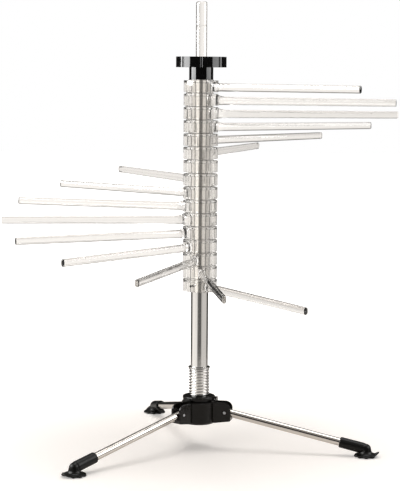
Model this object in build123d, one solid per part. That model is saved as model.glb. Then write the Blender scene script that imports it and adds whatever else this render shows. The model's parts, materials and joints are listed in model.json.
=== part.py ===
from build123d import *
import math
import os

# A table-top drying rack for the kitchen. A metal tube stands on three folding legs. Sixteen
# clear arms turn on the tube, each one ring higher than the last, and open like a spiral fan.
# A knob on top turns the highest arm, and each ring drags the next round by a lug in a channel.
#
# The origin is on the tube's axis at table level, +Z is up and the front of the rack faces -Y.
# Lengths are in millimetres and angles in degrees. Azimuth 0 is +X and 90 is +Y.

# How far a cutting solid runs past what it cuts, and the clearances between pieces
overrun = 2.0
fit_gap = 0.03
running_gap = 0.08
face_gap = 0.1
loose_gap = 0.3

# Column tube
tube_radius = 8.8
tube_wall = 1.0
tube_bottom = 30.2
tube_bore = tube_radius - tube_wall

# Ring stack and the fan of arms
arm_count = 16
ring_pitch = 13.3
lowest_ring_height = 166.9
first_arm_azimuth = -42.6
fan_step = 22.78
ring_radius = 17.3
ring_height = 11.6
ring_wall = 1.4
ring_plate = 2.0
ring_edge = 0.5
boss_radius = 12.5
boss_height = ring_pitch - face_gap
ring_bore = tube_radius + running_gap
stack_top = lowest_ring_height + (arm_count - 1) * ring_pitch + boss_height / 2

# Lug on a ring's top plate, and the stop ribs in the channel that it runs in
lug_side_gap = 0.4
lug_reach = 2.2
lug_angle = 14.0
lug_azimuth = 180.0
stop_gap_angle = 0.4
rib_angle = 4.0

# Arm
arm_reach = 198.6
arm_drop = 0.8
arm_root_distance = 16.0
arm_flare_distance = 19.5
arm_start_distance = 26.0
arm_root_size = (8.0, 11.2)
arm_flare_size = (6.4, 9.4)
arm_start_size = (5.2, 8.1)
arm_tip_size = (4.4, 7.2)
arm_tip_round = 0.8
# The section's shoulder, between its slanted side and its crown, as shares of its half sizes
shoulder_width_share = 0.86
shoulder_height_share = 0.66

# Cross pin that fixes the lowest ring to the tube
cross_pin_radius = 1.3
cross_pin_azimuth = 238.0

# Knob, a wheel on a lower hub that stands on the ring stack, and the well for the bush in its top
knob_radius = 25.2
knob_height = 10.5
knob_hub_radius = 12.05
knob_hub_height = 12.2
knob_well_depth = 2.1
knob_dish_radii = (13.5, 21.0)
knob_dish_depth = 1.2
wheel_bottom = stack_top + knob_hub_height
wheel_top = wheel_bottom + knob_height
knob_edge_round = 1.5
flute_count = 8
flute_radius = 1.7
flute_offset = 0.75
flute_azimuth = -90.0
key_width = 4.0
key_depth = 2.5
key_reach = 11.8

# Bush in the top of the tube
tube_top = wheel_top - knob_well_depth
bush_flange_radius = 11.2
bush_flange_height = 1.7
bush_length = 16.0
bush_mouth_round = 0.8

# Wand
wand_radius = 5.6
wand_show = 54.4
wand_top = wheel_top + wand_show
wand_end_round = 2.0
wand_groove_drop = 23.1
wand_groove_width = 1.0
wand_groove_depth = 0.25

# Spring, the clip above it and the lock cap below it
spring_clip_height = 82.0
spring_wire = 1.2
spring_inside_gap = 0.35
spring_turns = 10
spring_closed_pitch = 1.7
clip_radius = 11.0
clip_thickness = 1.2
clip_groove_depth = 0.5
clip_opening = 70.0
cap_top = 53.5
cap_radius = 16.5
cap_rim_height = 2.8
cap_rim_round = 1.2
cap_neck_radius = 13.0
tongue_thickness = 1.25
tongue_depth = 5.0
tongue_width = 8.0

# Foot hub
hub_bottom = 25.5
hub_top = 48.0
hub_core_radius = 17.5
hub_core_bevel = 2.0
hub_core_top_bevel = 0.8
fork_reach = 34.0
fork_half_width = 6.3
fork_end_bottom = 29.0
fork_start_bottom = 26.6
fork_top_round = 7.0
fork_end_round = 1.2
fork_side_round = 0.7
slot_half_width = 4.3
slot_web = 1.6
screw_radius = 2.0
screw_head_radius = 4.2
screw_head_height = 2.2
screw_recess_width = 1.0
screw_recess_depth = 1.2
screw_well_radius = 5.2
screw_well_depth = 2.5
plug_length = 13.5

# Legs and their hinge pins
right_leg_azimuth = -13.2
leg_spread_angle = 120.0
leg_azimuths = {
    "left": right_leg_azimuth - leg_spread_angle,
    "right": right_leg_azimuth,
    "rear": right_leg_azimuth + leg_spread_angle,
}
leg_radius = 4.0
leg_wall = 0.8
leg_butt = 7.6
leg_plug_head = 1.2
leg_plug_length = 16.0
pin_setback = 6.0
pin_distance = fork_reach - pin_setback
pin_height = 37.5
pin_radius = 1.6
pin_end_round = 0.4

# Feet
foot_distance = 171.5
foot_axis_height = 8.0
boot_radius = 5.5
boot_length = 27.0
boot_mouth_round = 0.7
boot_end_wall = 2.0
pad_radius = 12.0
pad_height = 4.6
pad_edge_round = 1.2
pad_neck_radius = 7.0
pad_neck_height = 8.0
pad_hollow_radius = 7.0
pad_hollow_depth = 1.0
tab_half_width = 3.8
tab_reach = 1.4
tab_rise = 5.0
tab_thickness = 2.2

leg_slope = math.degrees(
    math.atan2(pin_height - foot_axis_height, foot_distance - pin_distance)
)
leg_length = math.hypot(pin_height - foot_axis_height, foot_distance - pin_distance)
leg_frame = Location((pin_distance, 0, pin_height), (0, 90 + leg_slope, 0))


def rod(radius, start, end):
    """A round bar on the Z axis from one height to another."""
    bar = Cylinder(radius, end - start, align=(Align.CENTER, Align.CENTER, Align.MIN))
    return Pos(0, 0, start) * bar


def pipe(outer, inner, start, end):
    """A round tube on the Z axis from one height to another."""
    return rod(outer, start, end) - rod(inner, start - overrun, end + overrun)


def block(low, high):
    """A box between two opposite corners."""
    size = [b - a for a, b in zip(low, high)]
    middle = [(a + b) / 2 for a, b in zip(low, high)]
    return Pos(*middle) * Box(*size)


def ring_sector(inner, outer, bottom, top, start_angle, end_angle):
    """Part of a square-edged ring about the Z axis, between two azimuths."""
    middle = Pos((inner + outer) / 2, (bottom + top) / 2)
    section = Plane.XZ * middle * Rectangle(outer - inner, top - bottom)
    return Rot(0, 0, start_angle) * revolve(section, Axis.Z, end_angle - start_angle)


def cross_bar(radius, half_length, height=0.0):
    """A round bar across the Z axis, along Y, at a height."""
    return Pos(0, 0, height) * Rot(90, 0, 0) * rod(radius, -half_length, half_length)


def ring_middle(number):
    """Height of the middle of ring 1 (top) to 16 (bottom)."""
    return lowest_ring_height + (arm_count - number) * ring_pitch


def arm_azimuth(number):
    return first_arm_azimuth + (number - 1) * fan_step


def arm_section(distance, size, drop):
    """Barrel section of an arm: widest at the parting line, with crowned top and bottom."""
    half_width, half_height = size[0] / 2, size[1] / 2
    shoulder = half_width * shoulder_width_share
    rise = half_height * shoulder_height_share
    outline = [
        Line((half_width, 0), (shoulder, rise)),
        ThreePointArc((shoulder, rise), (0, half_height), (-shoulder, rise)),
        Line((-shoulder, rise), (-half_width, 0)),
        Line((-half_width, 0), (-shoulder, -rise)),
        ThreePointArc((-shoulder, -rise), (0, -half_height), (shoulder, -rise)),
        Line((shoulder, -rise), (half_width, 0)),
    ]
    across = Plane(origin=(distance, 0, -drop), x_dir=(0, 1, 0), z_dir=(1, 0, 0))
    return across * make_face(outline)


def arm_bar():
    """The arm itself, flared where it grows out of its ring."""
    sections = [
        arm_section(arm_root_distance, arm_root_size, 0),
        arm_section(arm_flare_distance, arm_flare_size, arm_drop / 2),
        arm_section(arm_start_distance, arm_start_size, arm_drop),
        arm_section(arm_reach, arm_tip_size, arm_drop),
    ]
    bar = loft(sections, ruled=True)
    tip = bar.faces().sort_by(Axis.X)[-1]
    return fillet(tip.edges(), arm_tip_round)


def arm_moulding(has_lug=True):
    """One clear moulding, ring and arm, with the ring's middle at the origin, the arm on +X."""
    half = ring_height / 2
    disc = rod(ring_radius, -half, half)
    disc = chamfer(disc.edges().filter_by(GeomType.CIRCLE), ring_edge)
    body = disc + rod(boss_radius, -boss_height / 2, boss_height / 2) + arm_bar()

    # The lug of the ring below travels between two ribs, through one fan step.
    reach = lug_angle / 2 + stop_gap_angle
    travel = (lug_azimuth - reach, lug_azimuth + fan_step + reach)
    rest = (travel[1] + rib_angle, travel[0] - rib_angle + 360)
    for start, end in (travel, rest):
        body -= ring_sector(
            boss_radius, ring_radius - ring_wall, -half - overrun, half - ring_plate, start, end
        )
    if has_lug:
        lug_top = ring_pitch - half + lug_reach
        body += ring_sector(
            boss_radius + lug_side_gap,
            ring_radius - ring_wall - lug_side_gap,
            half - ring_plate / 2,
            lug_top,
            lug_azimuth - lug_angle / 2,
            lug_azimuth + lug_angle / 2,
        )
    return body - rod(ring_bore, -boss_height, boss_height)


def top_arm(moulding):
    """The highest arm: its boss is notched for the knob's two keys."""
    top = boss_height / 2
    low = (-key_reach, -key_width / 2, top - key_depth)
    high = (key_reach, key_width / 2, top + overrun)
    return moulding - block(low, high)


def fixed_arm(moulding):
    """The lowest arm: it is drilled for the cross pin."""
    hole = cross_bar(cross_pin_radius + fit_gap, ring_radius + overrun)
    return moulding - Rot(0, 0, cross_pin_azimuth - 90 - arm_azimuth(arm_count)) * hole


def cross_pin():
    pin = cross_bar(cross_pin_radius, ring_radius, lowest_ring_height)
    return Rot(0, 0, cross_pin_azimuth - 90) * pin


def knob():
    """Finger wheel with narrow flutes, a smooth lower hub and two keys for the highest arm."""
    wheel = rod(knob_radius, wheel_bottom, wheel_top)
    for index in range(flute_count):
        turn = flute_azimuth + index * 360 / flute_count
        flute = rod(flute_radius, wheel_bottom - overrun, wheel_top + overrun)
        wheel -= Rot(0, 0, turn) * Pos(knob_radius + flute_offset, 0, 0) * flute
    rim = wheel.edges().filter_by(Plane.XY)
    wheel = fillet(rim, knob_edge_round)
    dish_inner, dish_outer = knob_dish_radii
    wheel -= pipe(dish_outer, dish_inner, wheel_top - knob_dish_depth, wheel_top + overrun)
    key_side = (key_width - face_gap) / 2
    keys = block(
        (-key_reach + face_gap, -key_side, stack_top - key_depth + face_gap),
        (key_reach - face_gap, key_side, stack_top + overrun),
    )
    body = wheel + rod(knob_hub_radius, stack_top, wheel_bottom + overrun)
    body += Rot(0, 0, first_arm_azimuth) * keys
    body -= rod(ring_bore, stack_top - key_depth - overrun, wheel_top + overrun)
    well = rod(bush_flange_radius + loose_gap, tube_top - face_gap, wheel_top + overrun)
    return body - well


def wand_bush():
    """Flanged bush that stops the tube's top, keeps the knob on and guides the wand."""
    flange = rod(bush_flange_radius, tube_top, tube_top + bush_flange_height)
    body = flange + rod(tube_bore - fit_gap, tube_top - bush_length, tube_top)
    flange_top = tube_top + bush_flange_height
    body -= rod(wand_radius + loose_gap, tube_top - bush_length - overrun, flange_top + overrun)
    mouth = body.edges().filter_by(GeomType.CIRCLE).group_by(Axis.Z)[-1]
    return fillet(mouth, bush_mouth_round)


def wand():
    """Clear round stick that stands on the cross pin inside the tube."""
    bottom = lowest_ring_height + cross_pin_radius + face_gap
    stick = rod(wand_radius, bottom, wand_top)
    stick = fillet(stick.edges().filter_by(GeomType.CIRCLE), wand_end_round)
    groove_top = wand_top - wand_groove_drop
    groove = pipe(
        wand_radius + overrun,
        wand_radius - wand_groove_depth,
        groove_top - wand_groove_width,
        groove_top,
    )
    return stick - groove


def column_tube():
    body = pipe(tube_radius, tube_bore, tube_bottom, tube_top)
    hole = cross_bar(cross_pin_radius + fit_gap, tube_radius + overrun, lowest_ring_height)
    body -= Rot(0, 0, cross_pin_azimuth - 90) * hole
    groove = pipe(
        tube_radius + overrun,
        tube_radius - clip_groove_depth,
        spring_clip_height,
        spring_clip_height + clip_thickness,
    )
    return body - groove


def spring_clip():
    """Open ring that snaps into the tube's groove."""
    inner = tube_radius - clip_groove_depth + fit_gap
    low, high = spring_clip_height, spring_clip_height + clip_thickness
    return ring_sector(inner, clip_radius, low, high, 90 + clip_opening / 2, 450 - clip_opening / 2)


def helix_point(turns, radius, low, high, slope_reach=0.25):
    """A point on the spring's centre line, closely wound at both ends, and its direction."""
    open_pitch = (high - low - 2 * spring_closed_pitch) / (spring_turns - 2)

    def height(at):
        if at < 1:
            return low + at * spring_closed_pitch
        if at > spring_turns - 1:
            return high - (spring_turns - at) * spring_closed_pitch
        return low + spring_closed_pitch + (at - 1) * open_pitch

    angle = 2 * math.pi * turns
    before = max(turns - slope_reach, 0)
    after = min(turns + slope_reach, spring_turns)
    rise = (height(after) - height(before)) / (after - before)
    point = Vector(radius * math.cos(angle), radius * math.sin(angle), height(turns))
    way = 2 * math.pi * radius
    direction = Vector(-way * math.sin(angle), way * math.cos(angle), rise).normalized()
    return point, direction


def biarc(start, start_way, end, end_way):
    """Two arcs that meet smoothly, from one point and direction to another."""
    span = end - start
    ways = start_way + end_way
    bend = 2 * (1 - start_way.dot(end_way))
    along = span.dot(ways)
    reach = (math.sqrt(along * along + bend * span.dot(span)) - along) / bend
    joint = (start + end + (start_way - end_way) * reach) * 0.5
    joint_way = (joint - start - start_way * reach).normalized()
    return [
        TangentArc(start, joint, tangent=start_way),
        TangentArc(joint, end, tangent=joint_way),
    ]


def spring():
    """Round wire wound on quarter-turn biarcs, with a straight wire end at each end."""
    radius = tube_radius + spring_inside_gap + spring_wire / 2
    low = cap_top + face_gap + spring_wire / 2
    high = spring_clip_height - face_gap - spring_wire / 2
    quarters = [helix_point(index / 4, radius, low, high) for index in range(4 * spring_turns + 1)]
    first, first_way = quarters[0]
    last, last_way = quarters[-1]
    first_way = Vector(first_way.X, first_way.Y, 0).normalized()
    last_way = Vector(last_way.X, last_way.Y, 0).normalized()
    quarters[0] = (first, first_way)
    quarters[-1] = (last, last_way)
    path = [Line(first - first_way * spring_wire, first)]
    for (start, start_way), (end, end_way) in zip(quarters, quarters[1:]):
        path += biarc(start, start_way, end, end_way)
    path.append(Line(last, last + last_way * spring_wire))
    wire = Wire([edge for piece in path for edge in piece.edges()])
    section = Plane(origin=wire @ 0, z_dir=wire % 0) * Circle(spring_wire / 2)
    coil = sweep(section, path=wire)

    samples_per_turn = 48
    count = samples_per_turn * spring_turns
    points = [wire @ (index / count) for index in range(count + 1)]
    nearest = min(
        (points[j] - points[i]).length
        for i in range(count + 1)
        for j in range(i + samples_per_turn // 2, count + 1)
    )
    print("spring: least gap to itself", round(nearest - spring_wire, 3))
    expected = math.pi * (spring_wire / 2) ** 2 * wire.length
    print("spring: volume over section times length", round(coil.volume / expected, 4))
    return coil


def lock_cap():
    """Sprung cap: a rim over a neck, with a tongue that drops behind each leg's end."""
    rim = rod(cap_radius, cap_top - cap_rim_height, cap_top)
    rim = fillet(rim.edges().filter_by(GeomType.CIRCLE).group_by(Axis.Z)[-1], cap_rim_round)
    body = rim + rod(cap_neck_radius, hub_top + face_gap, cap_top - cap_rim_height / 2)
    inner = hub_core_radius + face_gap + face_gap
    low = (cap_neck_radius, -tongue_width / 2, cap_top - cap_rim_height)
    high = (inner + tongue_thickness, tongue_width / 2, cap_top - cap_rim_round)
    shelf = block(low, high)
    blade = block((inner, low[1], hub_top - tongue_depth), high)
    for azimuth in leg_azimuths.values():
        body += Rot(0, 0, azimuth) * (shelf + blade)
    return body - rod(ring_bore, hub_top - overrun, cap_top + overrun)


def fork():
    """One solid fork before it is slotted, along +X, seen from the side as one outline."""
    side = Plane.XZ * make_face(
        Polyline(
            (0, fork_start_bottom),
            (hub_core_radius, fork_start_bottom),
            (fork_reach, fork_end_bottom),
            (fork_reach, hub_top),
            (0, hub_top),
            close=True,
        )
    )
    body = extrude(side, fork_half_width, both=True)
    far = body.edges().filter_by(Axis.Y).group_by(Axis.X)[-1].sort_by(Axis.Z)
    body = fillet(far[-1], fork_top_round)
    far = body.edges().filter_by(Axis.Y).group_by(Axis.X)[-1].sort_by(Axis.Z)
    body = fillet(far[0], fork_end_round)
    inner_edges = body.edges().group_by(Axis.X)[0]
    return fillet(body.faces().filter_by(Axis.Y).edges() - inner_edges, fork_side_round)


def fork_slot():
    """The space in a fork for its leg: open above, and open below except for an end web."""
    inner = hub_core_radius + face_gap
    web = fork_reach - slot_web
    open_part = block(
        (inner, -slot_half_width, hub_bottom - overrun),
        (web, slot_half_width, hub_top + overrun),
    )
    web_height = pin_height - (web - pin_distance) * math.tan(math.radians(leg_slope))
    above_web = block(
        (web - overrun, -slot_half_width, web_height),
        (fork_reach + overrun, slot_half_width, hub_top + overrun),
    )
    cradle = leg_frame * rod(leg_radius + face_gap, 0, fork_reach - pin_distance + overrun)
    return open_part + above_web + cradle


def hub_base():
    """Foot hub: a core that holds the tube, and three forks that hold the legs."""
    core = rod(hub_core_radius, hub_bottom, hub_top)
    rims = core.edges().filter_by(GeomType.CIRCLE).sort_by(Axis.Z)
    core = chamfer(rims[0], hub_core_bevel)
    body = chamfer(core.edges().filter_by(GeomType.CIRCLE).sort_by(Axis.Z)[-1], hub_core_top_bevel)
    pin_hole = Pos(pin_distance, 0, 0) * cross_bar(
        pin_radius + fit_gap, fork_half_width + overrun, pin_height
    )
    forks = [Rot(0, 0, azimuth) * fork() for azimuth in leg_azimuths.values()]
    for each in forks:
        body += each
    cuts = fork_slot() + pin_hole
    for azimuth in leg_azimuths.values():
        body -= Rot(0, 0, azimuth) * cuts
    body -= rod(tube_radius + fit_gap, tube_bottom - face_gap, hub_top + overrun)
    body -= rod(screw_radius + face_gap, hub_bottom - overrun, tube_bottom)
    body -= rod(screw_well_radius, hub_bottom - overrun, hub_bottom + screw_well_depth)
    return body


def column_plug():
    """Threaded plug pressed into the lower end of the tube."""
    return pipe(tube_bore - fit_gap, screw_radius + fit_gap, tube_bottom, tube_bottom + plug_length)


def base_screw():
    """Pan-head screw that clamps the hub to the plug from below."""
    seat = hub_bottom + screw_well_depth
    head = rod(screw_head_radius, seat - screw_head_height, seat)
    head = fillet(head.edges().filter_by(GeomType.CIRCLE).sort_by(Axis.Z)[0], screw_head_height / 2)
    body = head + rod(screw_radius, seat, tube_bottom + plug_length - screw_radius)
    for turn in (0, 90):
        recess = Box(screw_head_radius, screw_recess_width, 2 * screw_recess_depth)
        body -= Pos(0, 0, seat - screw_head_height) * Rot(0, 0, turn) * recess
    return body


def leg_tube():
    """Chromed tube along its own sloping axis, drilled for the hinge pin."""
    tube_end = leg_length - boot_end_wall
    body = pipe(leg_radius, leg_radius - leg_wall, -leg_butt + leg_plug_head, tube_end)
    body -= cross_bar(pin_radius + running_gap, leg_radius + overrun)
    return leg_frame * body


def leg_plug():
    """Plug with a flat head that closes and stiffens a leg's hinged end."""
    head_end = -leg_butt + leg_plug_head
    body = rod(leg_radius, -leg_butt, head_end)
    body += rod(leg_radius - leg_wall - fit_gap, head_end, head_end + leg_plug_length)
    body -= cross_bar(pin_radius + running_gap, leg_radius + overrun)
    return leg_frame * body


def leg_pin():
    pin = cross_bar(pin_radius, fork_half_width - face_gap)
    pin = chamfer(pin.edges().filter_by(GeomType.CIRCLE), pin_end_round)
    return Pos(pin_distance, 0, pin_height) * pin


def foot_pad():
    """Round pad with a hollow underneath, a neck up to the boot and a pull tab outside."""
    pad = rod(pad_radius, 0, pad_height)
    pad = fillet(pad.edges().filter_by(GeomType.CIRCLE), pad_edge_round)
    neck = Pos(0, 0, pad_height / 2) * Cone(
        pad_radius - pad_edge_round,
        pad_neck_radius,
        pad_neck_height - pad_height / 2,
        align=(Align.CENTER, Align.CENTER, Align.MIN),
    )
    tab_outline = Plane.XZ * make_face(
        Polyline(
            (pad_neck_radius, pad_height / 2),
            (pad_radius - pad_edge_round, pad_height / 2),
            (pad_radius + tab_reach, pad_height / 2 + tab_rise),
            (pad_radius + tab_reach - tab_thickness / 2, pad_height / 2 + tab_rise + tab_thickness),
            (pad_neck_radius, pad_height),
            close=True,
        )
    )
    tab = extrude(tab_outline, tab_half_width, both=True)
    return pad + neck + tab - rod(pad_hollow_radius, -overrun, pad_hollow_depth)


def foot():
    """Rubber boot pushed over the end of a leg, moulded in one with its pad."""
    mouth = leg_length - boot_length
    boot = rod(boot_radius, mouth, leg_length)
    boot = fillet(boot.edges().filter_by(GeomType.CIRCLE).sort_by(Axis.Z)[0], boot_mouth_round)
    boot += Pos(0, 0, leg_length) * Sphere(boot_radius)
    body = leg_frame * boot + Pos(foot_distance, 0, 0) * foot_pad()
    bore = rod(leg_radius + fit_gap, mouth - overrun, leg_length - boot_end_wall + fit_gap)
    return body - leg_frame * bore


def all_pieces():
    """Every node's name and solid, in place."""
    pieces = {
        "column_tube": column_tube(),
        "cross_pin": cross_pin(),
        "knob": knob(),
        "wand_bush": wand_bush(),
        "wand": wand(),
        "spring_clip": spring_clip(),
        "spring": spring(),
        "lock_cap": lock_cap(),
        "hub_base": hub_base(),
        "column_plug": column_plug(),
        "base_screw": base_screw(),
    }
    plain = arm_moulding()
    mouldings = {1: top_arm(arm_moulding(has_lug=False)), arm_count: fixed_arm(plain)}
    for number in range(1, arm_count + 1):
        place = Pos(0, 0, ring_middle(number)) * Rot(0, 0, arm_azimuth(number))
        pieces[f"arm_{number:02d}"] = place * mouldings.get(number, plain)
    leg_parts = {
        "leg_tube": leg_tube(),
        "leg_plug": leg_plug(),
        "leg_pin": leg_pin(),
        "foot": foot(),
    }
    for side, azimuth in leg_azimuths.items():
        for name, solid in leg_parts.items():
            pieces[f"{name}_{side}"] = Rot(0, 0, azimuth) * solid
    return pieces


os.makedirs("parts", exist_ok=True)
for name, solid in all_pieces().items():
    export_step(solid, f"parts/{name}.step")
    print(name, len(solid.solids()), round(solid.volume, 1))
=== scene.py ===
# %% [markdown]
# # A folding drying rack for the kitchen
# The rack stands on a table. A bright metal tube rises from a black hub with three folding legs,
# and sixteen clear arms are threaded on the tube like the steps of a spiral stair. A black finger
# wheel on top opens and closes the fan, and a clear wand stands in the tube's hollow.
# This file dresses the engineering model of the rack: it keeps every measured position, gives
# each piece its finish, and models again those pieces whose small forms catch the light.

# %% Load the engineering model
import json
import math

import bpy
from mathutils import Matrix, Vector


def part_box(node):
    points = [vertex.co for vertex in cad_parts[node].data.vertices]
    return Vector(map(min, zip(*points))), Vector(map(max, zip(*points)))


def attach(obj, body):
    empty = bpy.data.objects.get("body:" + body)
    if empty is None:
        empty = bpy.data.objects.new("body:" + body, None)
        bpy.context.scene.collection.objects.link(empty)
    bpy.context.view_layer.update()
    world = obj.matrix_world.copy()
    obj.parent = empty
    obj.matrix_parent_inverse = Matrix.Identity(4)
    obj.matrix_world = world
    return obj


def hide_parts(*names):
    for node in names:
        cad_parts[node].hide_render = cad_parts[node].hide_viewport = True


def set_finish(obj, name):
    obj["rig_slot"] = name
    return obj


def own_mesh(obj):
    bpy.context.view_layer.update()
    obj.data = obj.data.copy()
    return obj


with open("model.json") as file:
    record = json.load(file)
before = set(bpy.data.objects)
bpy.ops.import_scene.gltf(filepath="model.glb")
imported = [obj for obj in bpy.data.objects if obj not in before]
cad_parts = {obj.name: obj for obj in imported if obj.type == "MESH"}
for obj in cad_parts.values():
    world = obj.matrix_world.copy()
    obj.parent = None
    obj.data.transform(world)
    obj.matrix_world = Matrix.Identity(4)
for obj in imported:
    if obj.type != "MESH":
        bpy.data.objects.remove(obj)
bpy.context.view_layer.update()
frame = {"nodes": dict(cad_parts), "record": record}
nodes = frame["nodes"]

# %% [markdown]
# ## The camera
# The photograph was taken from the front with a long lens, from the height of the knob and
# looking down by about six degrees. The numbers come from a fit to the arm tips, the ring edges
# and the feet. The focal length is given in pixels of the 400 pixel wide picture, and becomes
# millimetres through the sensor's width. No shift is needed, because the picture wasn't cropped
# off centre.

# %% Place the camera
IMAGE_WIDTH = 400
FOCAL_PIXELS = 1620.4
CAMERA_PLACE = Vector((0.0, -1.6245, 0.3814))
CAMERA_DIP = math.radians(6.142)
CAMERA_ROLL = 0.0073

bpy.ops.object.camera_add()
camera = bpy.context.object
camera.data.sensor_fit = "HORIZONTAL"
camera.data.lens = camera.data.sensor_width * FOCAL_PIXELS / IMAGE_WIDTH
camera.matrix_world = (
    Matrix.Translation(CAMERA_PLACE)
    @ Matrix.Rotation(math.pi / 2 - CAMERA_DIP, 4, "X")
    @ Matrix.Rotation(CAMERA_ROLL, 4, "Z")
)
bpy.context.scene.camera = camera
bpy.context.scene.view_settings.view_transform = "Standard"
print("lens", round(camera.data.lens, 2))

# %% [markdown]
# ## Working with nodes
# A material is a small network. Writing the same lines for every node soon hides the idea, so
# four helpers do it: one joins a number or another node's socket to an input, one reckons with
# two values, one fades smoothly between two values, and one chooses between them by a mask.

# %% Node helpers
def feed(tree, socket, value):
    """Joins a socket to an input, or sets the input to a number."""
    if isinstance(value, bpy.types.NodeSocket):
        tree.links.new(value, socket)
    else:
        socket.default_value = value


def math_node(tree, operation, first, second):
    """One sum, product or other reckoning of two values."""
    node = tree.nodes.new("ShaderNodeMath")
    node.operation = operation
    feed(tree, node.inputs[0], first)
    feed(tree, node.inputs[1], second)
    return node.outputs[0]


def fade(tree, value, start, end, low=0.0, high=1.0):
    """A smooth step from low to high, as the value goes from start to end."""
    node = tree.nodes.new("ShaderNodeMapRange")
    node.interpolation_type = "SMOOTHSTEP"
    feed(tree, node.inputs["Value"], value)
    for name, number in (
        ("From Min", start), ("From Max", end), ("To Min", low), ("To Max", high)
    ):
        feed(tree, node.inputs[name], number)
    return node.outputs["Result"]


def choose(tree, mask, off, on):
    """The value off where the mask is 0, and on where it is 1."""
    node = tree.nodes.new("ShaderNodeMix")
    feed(tree, node.inputs["Factor"], mask)
    feed(tree, node.inputs["A"], off)
    feed(tree, node.inputs["B"], on)
    return node.outputs["Result"]

# %% [markdown]
# ## The studio
# Clear plastic and chrome have no colour of their own: they show the room. Product photographers
# put a white backdrop behind the glass, white panels at the sides with dark gaps between them,
# and leave the camera's side dark, so that every wall of the glass draws a thin dark line. The
# panels go all round, so a ramp over the angle from the camera's side holds them: 0 is the
# front and 180 degrees is the backdrop. Straight at the sides the panels are a little darker
# than the white behind the rack, so that clear arms still show in a view from the side. The
# table beyond the rack carries the same panels, because at a shallow angle plastic and chrome
# look down on it.

# %% The panels round the rack
SEEN_THROUGH = [
    (0, 0.19), (15, 0.25), (25, 1.28), (56, 1.32), (61, 0.12), (71, 0.12), (77, 1.20),
    (80, 1.20), (84, 0.92), (97, 0.92), (101, 1.18), (110, 1.12), (115, 0.16), (125, 0.16),
    (131, 1.01), (180, 1.01),
]
MIRRORED = [(0, 0.12), (20, 0.14), (32, 0.95), (100, 1.05), (112, 0.12), (180, 0.08)]
RIGHT_SIDE = 0.67
DIM_START, DIM_END = -0.2, 0.6
HIGH_START, HIGH_END, HIGH_LIGHT = 0.36, 0.70, 0.20
WARM_LIGHT, WHITE_LIGHT = (1.0, 0.965, 0.925, 1.0), (1.0, 1.0, 1.0, 1.0)


def panel_light(tree, x, y, panels):
    """The brightness of some panels in the direction (x, y), with a dimmer right side."""
    ahead = math_node(tree, "ARCTAN2", x, math_node(tree, "MULTIPLY", y, -1.0))
    share = math_node(tree, "DIVIDE", math_node(tree, "ABSOLUTE", ahead, 0.0), math.pi)
    node = tree.nodes.new("ShaderNodeValToRGB")
    ramp = node.color_ramp
    while len(ramp.elements) < len(panels):
        ramp.elements.new(0.5)
    top = max(level for angle, level in panels)
    for stop, (angle, level) in zip(ramp.elements, panels):
        stop.position = angle / 180.0
        stop.color = (level / top,) * 3 + (1.0,)
    feed(tree, node.inputs["Fac"], share)
    side = math_node(tree, "SINE", ahead, 0.0)
    dim = fade(tree, side, DIM_START, DIM_END, top, top * RIGHT_SIDE)
    return math_node(tree, "MULTIPLY", node.outputs["Color"], dim)


# %% The world
ROOM_LIGHT, CEILING_LIGHT, MATT_LIGHT = 0.03, 0.42, 0.55
CEILING_START, CEILING_END = 0.30, 0.80

world = bpy.data.worlds.new("studio")
bpy.context.scene.world = world
world.use_nodes = True
tree = world.node_tree
tree.nodes.clear()
path = tree.nodes.new("ShaderNodeLightPath")
direction = tree.nodes.new("ShaderNodeSeparateXYZ")
tree.links.new(tree.nodes.new("ShaderNodeTexCoord").outputs["Generated"], direction.inputs[0])
height = direction.outputs["Z"]

reflected = fade(tree, height, CEILING_START, CEILING_END, ROOM_LIGHT, CEILING_LIGHT)
around = panel_light(tree, direction.outputs["X"], direction.outputs["Y"], SEEN_THROUGH)
above = fade(tree, height, HIGH_START, HIGH_END, 1.0, HIGH_LIGHT)
through = math_node(tree, "MULTIPLY", around, above)

level = MATT_LIGHT
for ray, light in (("Is Glossy Ray", reflected), ("Is Transmission Ray", through)):
    level = choose(tree, path.outputs[ray], level, light)
level = math_node(tree, "MAXIMUM", level, path.outputs["Is Camera Ray"])
tint = tree.nodes.new("ShaderNodeMix")
tint.data_type = "RGBA"
tint.inputs["A"].default_value = WARM_LIGHT
tint.inputs["B"].default_value = WHITE_LIGHT
feed(tree, tint.inputs["Factor"], path.outputs["Is Camera Ray"])
background = tree.nodes.new("ShaderNodeBackground")
tree.links.new(tint.outputs["Result"], background.inputs["Color"])
tree.links.new(level, background.inputs["Strength"])
output = tree.nodes.new("ShaderNodeOutputWorld")
tree.links.new(background.outputs[0], output.inputs["Surface"])

# %% [markdown]
# ## The table
# The rack stands on a pale, faintly warm table that runs out into pure white. The table has to
# take the soft shadows of the legs, so near the rack it is an ordinary matt surface. Farther out
# an emission that only the camera sees lifts it to white, so no edge shows. Where a ray comes
# through plastic or off chrome, the far table shows the panels of the studio instead. A disc is
# enough. Its mesh is cut into rings, so that it isn't one huge face under a small object.

# %% The table
FLOOR_RADIUS, FLOOR_RINGS = 6.0, (0.375, 0.25)
FLOOR_PLAIN, FLOOR_WHITE, FLOOR_LIFT = 0.06, 0.56, 0.16
FLOOR_COLOR, FLOOR_ROUGHNESS, FLOOR_SPECULAR = (0.93, 0.885, 0.845, 1.0), 0.4, 0.3
PANEL_NEAR, PANEL_FAR = 0.22, 0.60

bpy.ops.object.select_all(action="DESELECT")
bpy.ops.mesh.primitive_circle_add(vertices=96, radius=FLOOR_RADIUS, fill_type="NGON")
floor = bpy.context.object
floor.name = "table"
bpy.ops.object.mode_set(mode="EDIT")
for share in FLOOR_RINGS:
    bpy.ops.mesh.inset(thickness=FLOOR_RADIUS * share)
bpy.ops.object.mode_set(mode="OBJECT")

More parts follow.
